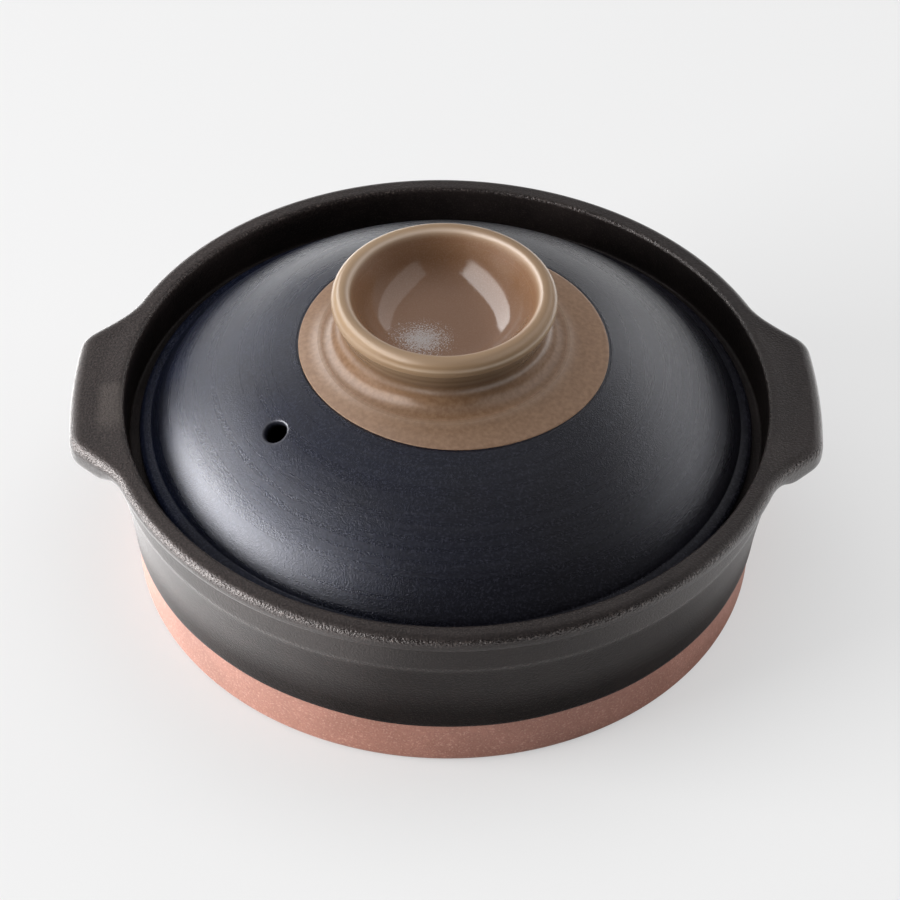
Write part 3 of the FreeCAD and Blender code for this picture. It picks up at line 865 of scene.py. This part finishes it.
def blackGlaze():
    look = blackLook
    material, tree, shader, place = newMaterial("blackGlaze")
    grain = useGroup(tree, grainGroup, place)
    lines = useGroup(tree, linesGroup, place)
    placeX, placeY, placeZ = splitPlace(tree, place)
    edge = attribute(tree, "edge")
    colour = mixColour(tree, remap(tree, grain["blotch"], 0.4, 0.7), look["dark"], look["light"])
    # Scuffs on the top of the rim, weighted to the left: real scuffs, plus painted light that pales the
    # left side of the rim top
    scuffAndLitSide = times(tree, remap(tree, placeX, 0.01, -0.09, 0.15, 1), remap(tree, placeZ, 0.069, 0.0725),
                    remap(tree, grain["glitter"], 0.38, 0.62, 0.1, 0.75))
    colour = mixColour(tree, scuffAndLitSide, colour, look["scuffAndLight"])
    # Rubbed patch on the left lug, beside the mouth
    rubbed = times(tree, remap(tree, placeX, -0.1288, -0.1262), remap(tree, placeX, -0.1165, -0.118),
                   remap(tree, placeY, -0.0235, -0.0165), remap(tree, placeY, 0.0042, 0.001),
                   remap(tree, placeZ, 0.0725, 0.0733, 0, 0.75),
                   remap(tree, grain["glitter"], 0.35, 0.6, 0.45, 1))
    colour = mixColour(tree, rubbed, colour, look["rubbed"])
    worn = times(tree, edge, remap(tree, grain["glitter"], 0.55, 0.7, 0, 0.8))
    colour = mixColour(tree, worn, colour, look["worn"])
    colour = mixColour(tree, remap(tree, grain["fine"], 0.54, 0.7, 0, 0.5), colour, look["speck"])
    shine = remap(tree, placeZ, 0.053, 0.057, look["wallShine"], look["bandShine"])
    shine = maths(tree, "SUBTRACT", shine, remap(tree, placeZ, 0.0705, 0.0735, 0, look["topLoss"]))
    shine = maths(tree, "ADD", shine, times(tree, edge, look["edgeShine"]))
    fromAxis = axisDistance(tree, placeX, placeY)
    shine = times(tree, shine, remap(tree, fromAxis, 0.1187, 0.1205, look["mouthShare"], 1))
    rough = remap(tree, edge, 0, 1, look["rough"], look["edgeRough"])
    normal = bump(tree, lines["upright"], 0.2, 0.0002)
    normal = bump(tree, grain["fine"], 0.6, 0.00025, normal)
    normal = bump(tree, grain["glitter"], remap(tree, edge, 0, 1, 0.3, 1), 0.0006, normal)
    setShader(tree, shader, colour, rough, shine, normal)
    shader.inputs["Specular Tint"].default_value = look["tint"]
    return material


# Navy glaze: near black, bluer and lighter to the left as painted light from that side, with fine throwing
# lines; dull at the edge, with painted shade dark in the hole.

navyLook = {
    # The blue colour is painted more strongly on the left of the lid, as painted light from that side.
    "black": (0.0055, 0.0051, 0.0066), "leftLitBlue": (0.006, 0.0088, 0.022), "streak": (0.014, 0.0145, 0.019),
    "blueSpeck": (0.012, 0.018, 0.042), "speck": (0.04, 0.039, 0.05), "holeRim": (0.2, 0.19, 0.19),
    # The bore colour is painted shade inside the steam hole.
    "boreShade": (0.001, 0.001, 0.001), "tint": (0.92, 0.93, 1, 1),
    "rough": (0.26, 0.3), "boreRough": 0.6, "edgeShine": 0.06, "domeShine": 0.5,
}


def navyGlaze():
    look = navyLook
    material, tree, shader, place = newMaterial("navyGlaze")
    grain = useGroup(tree, grainGroup, place)
    lines = useGroup(tree, linesGroup, place)
    placeX, _, placeZ = splitPlace(tree, place)
    # Inside the steam hole: painted shade, near black, rough and without shine
    boreShade = attribute(tree, "hollow")
    # Navy tint ramped up towards the left: painted light from the lamps on that side
    leftLitBlue = times(tree, remap(tree, placeX, 0.04, -0.09, 0.1, 0.8),
                 remap(tree, grain["blotch"], 0.35, 0.65, 0.5, 1))
    colour = mixColour(tree, leftLitBlue, look["black"], look["leftLitBlue"])
    colour = mixColour(tree, remap(tree, lines["radial"], 0.48, 0.72, 0, 0.25), colour, look["streak"])
    # Blue specks follow the same painted light on the left
    leftLitBlueSpecks = times(tree, leftLitBlue, remap(tree, grain["glitter"], 0.48, 0.68, 0, 0.9))
    colour = mixColour(tree, leftLitBlueSpecks, colour, look["blueSpeck"])
    colour = mixColour(tree, remap(tree, grain["glitter"], 0.5, 0.7, 0, 0.4), colour, look["speck"])
    colour = mixColour(tree, times(tree, attribute(tree, "holeRim"), 0.15), colour, look["holeRim"])
    colour = mixColour(tree, boreShade, colour, look["boreShade"])
    rough = remap(tree, lines["radial"], 0.3, 0.7, *look["rough"])
    rough = maths(tree, "ADD", rough, times(tree, boreShade, look["boreRough"]))
    shine = remap(tree, placeZ, 0.062, 0.0638, look["edgeShine"], look["domeShine"])
    shine = times(tree, shine, maths(tree, "SUBTRACT", 1.0, boreShade))
    normal = bump(tree, lines["radial"], 0.06, 0.00016)
    normal = bump(tree, grain["fine"], 0.6, 0.00022, normal)
    normal = bump(tree, grain["glitter"], 0.2, 0.0003, normal)
    setShader(tree, shader, colour, rough, shine, normal)
    shader.inputs["Specular Tint"].default_value = look["tint"]
    return material


# Tan glaze: lined on the lip, darker on flare and zone, with painted shade on the neck under the lip, a
# painted highlight line at the foot and a painted sheen paling the floor of the bowl; glossy in the bowl
# with its milky spot.

tanLook = {
    "lip": ((0.265, 0.172, 0.1), (0.355, 0.248, 0.155)),
    "zone": ((0.172, 0.093, 0.048), (0.225, 0.131, 0.074)),
    # The neck colour is painted shade under the lip; the foot colour paints a highlight line.
    "neck": (0.09, 0.055, 0.032), "foot": (0.4, 0.31, 0.24), "edge": (0.6, 0.48, 0.4),
    # The bowl floor colour is paler than the side colour: a painted sheen.
    "bowlSide": (0.172, 0.087, 0.043), "bowlFloorSheen": (0.228, 0.13, 0.083), "bowlSpeck": (0.3, 0.21, 0.155),
    "milky": (0.46, 0.43, 0.42), "rough": 0.27, "zoneRough": 0.45, "bowlRough": (0.1, 0.3), "shine": 0.5,
}
milkySpot = {
    "besideAxis": 0.0086, "beforeAxis": 0.0068, "narrow": 0.9, "reach": 0.0125, "end": (0.0105, 0.0135),
}


# The milky spot on the floor of the bowl: full near its middle, broken up by the grain towards its end.
def milkyShare(tree, placeX, placeY, grain):
    beside = maths(tree, "MULTIPLY_ADD", placeX, milkySpot["narrow"], milkySpot["besideAxis"])
    before = maths(tree, "ADD", placeY, milkySpot["beforeAxis"])
    fromSpot = maths(tree, "MULTIPLY_ADD", beside, beside, times(tree, before, before))
    fromSpot = maths(tree, "SQRT", fromSpot)
    inSpot = remap(tree, fromSpot, 0.001, milkySpot["reach"], 0.85, 0)
    uneven = maths(tree, "MULTIPLY_ADD", grain["coarse"], 0.9, -0.45)
    uneven = maths(tree, "MULTIPLY_ADD", grain["fine"], 2.6, maths(tree, "ADD", uneven, -1.3))
    milky = remap(tree, maths(tree, "ADD", inSpot, uneven), 0.3, 0.72, 0, 0.85)
    return times(tree, milky, remap(tree, fromSpot, *milkySpot["end"], 1, 0))


def tanGlaze():
    look = tanLook
    material, tree, shader, place = newMaterial("tanGlaze")
    grain = useGroup(tree, grainGroup, place)
    lines = useGroup(tree, linesGroup, place)
    placeX, placeY, placeZ = splitPlace(tree, place)
    bowl = attribute(tree, "bowl")
    colour = mixColour(tree, remap(tree, lines["upright"], 0.35, 0.65), *look["lip"])
    zoneColour = mixColour(tree, remap(tree, grain["coarse"], 0.35, 0.65), *look["zone"])
    colour = mixColour(tree, attribute(tree, "flare"), colour, zoneColour)
    # Painted shade on the neck, under the lip
    colour = mixColour(tree, times(tree, attribute(tree, "neck"), 0.65), colour, look["neck"])
    # Painted highlight: a pale line along the foot step
    colour = mixColour(tree, times(tree, attribute(tree, "foot"), 0.2), colour, look["foot"])
    # Paler towards the floor of the bowl: painted sheen
    floorSheenShare = remap(tree, placeZ, 0.113, 0.1055)
    bowlColour = mixColour(tree, floorSheenShare, look["bowlSide"], look["bowlFloorSheen"])
    bowlSpecks = remap(tree, grain["fine"], 0.45, 0.75, 0, 0.35)
    bowlColour = mixColour(tree, bowlSpecks, bowlColour, look["bowlSpeck"])
    colour = mixColour(tree, bowl, colour, bowlColour)
    milky = times(tree, milkyShare(tree, placeX, placeY, grain), bowl)
    colour = mixColour(tree, milky, colour, look["milky"])
    colour = mixColour(tree, times(tree, attribute(tree, "edge"), 0.5), colour, look["edge"])
    outsideRough = remap(tree, attribute(tree, "zone"), 0, 1, look["rough"], look["zoneRough"])
    insideRough = remap(tree, placeZ, 0.108, 0.119, *look["bowlRough"])
    rough = times(tree, bowl, maths(tree, "SUBTRACT", insideRough, outsideRough))
    rough = maths(tree, "ADD", rough, outsideRough)
    normal = bump(tree, lines["upright"], 0.05, 0.0002)
    normal = bump(tree, grain["coarse"], 0.06, 0.0003, normal)
    setShader(tree, shader, colour, rough, look["shine"], normal)
    return material


# Glaze of the cooking surface and the underside of the lid: dark brown gloss.

innerLook = {"dark": (0.018, 0.013, 0.011), "light": (0.034, 0.025, 0.02), "rough": 0.22, "shine": 0.5}


def innerGlazeFinish():
    look = innerLook
    material, tree, shader, place = newMaterial("innerGlaze")
    grain = useGroup(tree, grainGroup, place)
    colour = mixColour(tree, remap(tree, grain["blotch"], 0.35, 0.7), look["dark"], look["light"])
    normal = bump(tree, grain["coarse"], 0.08, 0.0003)
    setShader(tree, shader, colour, look["rough"], look["shine"], normal)
    return material


def dress(piece, material):
    piece.data.materials.clear()
    piece.data.materials.append(material)


clayFinish = bareClay()
innerFinish = innerGlazeFinish()
for piece in (potClayPiece, rightLug, leftLug, nodes["lid_clay_dome"], nodes["knob_ring"]):
    dress(piece, clayFinish)
for piece in (innerPiece, nodes["lid_inner_glaze"]):
    dress(piece, innerFinish)
dress(potGlazePiece, blackGlaze())
dress(navyPiece, navyGlaze())
dress(tanPiece, tanGlaze())
print("materials made")

# Stage: a pale floor, which glows at the sides only for what mirrors it

stageFloor = {
    "half": 6.0, "colour": (0.82, 0.82, 0.82, 1), "rough": 0.9, "shine": 0.1,
    "leftGlow": 3.4, "farLeftShare": 0.3, "rightGlow": 1.0, "pale": 0.89, "paleShare": 0.53,
}
half = stageFloor["half"]
floorMesh = bpy.data.meshes.new("floor")
floorCorners = [(-half, -half, 0), (half, -half, 0), (half, half, 0), (-half, half, 0)]
floorMesh.from_pydata(floorCorners, [], [(0, 1, 2, 3)])
floor = bpy.data.objects.new("floor", floorMesh)
bpy.context.collection.objects.link(floor)
floorMaterial, floorTree, floorShader, floorPlace = newMaterial("paleFloor")
floorShader.inputs["Base Color"].default_value = stageFloor["colour"]
floorShader.inputs["Roughness"].default_value = stageFloor["rough"]
floorShader.inputs["Specular IOR Level"].default_value = stageFloor["shine"]
floorRays = floorTree.nodes.new("ShaderNodeLightPath").outputs
floorX = splitPlace(floorTree, floorPlace)[0]
leftGlow = times(floorTree, remap(floorTree, floorX, -0.175, -0.03, stageFloor["leftGlow"], 0),
                 remap(floorTree, floorX, -0.25, -0.19, stageFloor["farLeftShare"], 1))
rightGlow = remap(floorTree, floorX, 0.11, 0.17, 0, stageFloor["rightGlow"])
sideGlow = times(floorTree, maths(floorTree, "ADD", leftGlow, rightGlow), floorRays["Is Glossy Ray"])
floorGlow = addNode(floorTree, "ShaderNodeEmission", Strength=sideGlow)
floorSum = floorTree.nodes.new("ShaderNodeAddShader")
floorTree.links.new(floorShader.outputs[0], floorSum.inputs[0])
floorTree.links.new(floorGlow.outputs[0], floorSum.inputs[1])
floorPale = addNode(floorTree, "ShaderNodeEmission", Strength=stageFloor["pale"])
paleShare = times(floorTree, floorRays["Is Camera Ray"], stageFloor["paleShare"])
floorMix = addNode(floorTree, "ShaderNodeMixShader", Fac=paleShare)
floorTree.links.new(floorSum.outputs[0], floorMix.inputs[1])
floorTree.links.new(floorPale.outputs[0], floorMix.inputs[2])
floorTree.links.new(floorMix.outputs[0], floorTree.nodes["Material Output"].inputs["Surface"])
dress(floor, floorMaterial)


# An area lamp at a place, turned to face the aim, in metres and watts.
def softBox(name, place, aim, width, height, power):
    data = bpy.data.lights.new(name, "AREA")
    data.shape = "RECTANGLE"
    data.size = width
    data.size_y = height
    data.energy = power
    lamp = bpy.data.objects.new(name, data)
    bpy.context.collection.objects.link(lamp)
    back = np.array(place) - np.array(aim)
    back = back / np.linalg.norm(back)
    right = np.cross([0, 0, 1], back)
    right = right / np.linalg.norm(right)
    up = np.cross(back, right)
    lamp.matrix_world = Matrix([*np.column_stack([right, up, back, place]).tolist(), (0, 0, 0, 1)])
    lamp.visible_camera = False
    return lamp


# Soft boxes that are only mirrored: some in the dark glazes, two windows in the tan one
darkGlazes = bpy.data.collections.new("darkGlazes")
for piece in (potGlazePiece, innerPiece, navyPiece, potClayPiece, rightLug, leftLug):
    darkGlazes.objects.link(piece)
paleGlaze = bpy.data.collections.new("paleGlaze")
paleGlaze.objects.link(tanPiece)
for box, mirroredIn in (
    (softBox("leftLowBox", (-2.0, -0.06, 0.645), (0, 0, 0.645), 2.15, 1.09, 138), darkGlazes),
    (softBox("leftHighBox", (-1.86, -0.74, 1.75), (0, 0, 1.75), 1.7, 1.1, 33), darkGlazes),
    (softBox("backLeftBox", (-1.34, 1.49, 0.88), (0, 0, 0.88), 1.46, 1.17, 9), darkGlazes),
    (softBox("backBox", (-0.45, 1.95, 2.09), (0, 0, 2.09), 0.7, 0.82, 5), darkGlazes),
    (softBox("rightBox", (1.5, 1.08, 0.86), (0, 0, 0.86), 2.2, 0.8, 14), darkGlazes),
    (softBox("leftWindow", (-1.446, 1.288, 1.9), (-0.461, 1.462, 1.9), 5.36, 1.95, 180), paleGlaze),
    (softBox("rightWindow", (1.446, 1.288, 1.9), (0.461, 1.462, 1.9), 5.36, 1.95, 31), paleGlaze),
):
    box.visible_diffuse = False
    box.light_linking.receiver_collection = mirroredIn

# Soft fills that only light
for fill in (
    softBox("sideFill", (-1.95, -0.45, 0.54), (0, 0, 0.54), 1.4, 0.7, 62),
    softBox("rightFill", (1.85, 0.76, 0.54), (0, 0, 0.54), 1.4, 0.7, 14),
    softBox("topFill", (-0.3, 0.1, 2.2), (0, 0, 0), 3.0, 3.0, 34),
):
    fill.visible_glossy = False

# World: pale for the camera, darker in front than behind for what is mirrored and for what is lit
room = {
    "seen": (0.9, 0.9, 0.9),
    "mirroredFront": (0.07, 0.07, 0.075), "mirroredBack": (0.34, 0.34, 0.35),
    "litFront": (0.06, 0.06, 0.06), "litBack": (0.44, 0.44, 0.45),
}
world = bpy.data.worlds.new("studio")
bpy.context.scene.world = world
world.use_nodes = True
worldTree = world.node_tree
rays = worldTree.nodes.new("ShaderNodeLightPath").outputs
wayY = splitPlace(worldTree, worldTree.nodes.new("ShaderNodeTexCoord").outputs["Generated"])[1]
behind = remap(worldTree, wayY, -0.6, 0.1)
mirrored = mixColour(worldTree, behind, room["mirroredFront"], room["mirroredBack"])
lit = mixColour(worldTree, remap(worldTree, wayY, -0.7, 0.7), room["litFront"], room["litBack"])
dim = mixColour(worldTree, rays["Is Glossy Ray"], lit, mirrored)
seen = mixColour(worldTree, rays["Is Camera Ray"], dim, room["seen"])
worldTree.links.new(seen, worldTree.nodes["Background"].inputs["Color"])

# Camera fitted to the photo
cameraData = bpy.data.cameras.new("camera")
cameraData.lens = 120
cameraData.sensor_width = 36
cameraData.clip_start = 0.05
camera = bpy.data.objects.new("camera", cameraData)
bpy.context.collection.objects.link(camera)
camera.matrix_world = Matrix((
    (0.99986499, -0.00620269, -0.01521623, -0.015479),
    (-0.00679159, 0.68722242, -0.72641532, -0.818705),
    (0.01496266, 0.72642059, 0.68708751, 0.817998),
    (0, 0, 0, 1),
))
bpy.context.scene.camera = camera
bpy.context.scene.view_settings.view_transform = "Standard"
print("stage made")
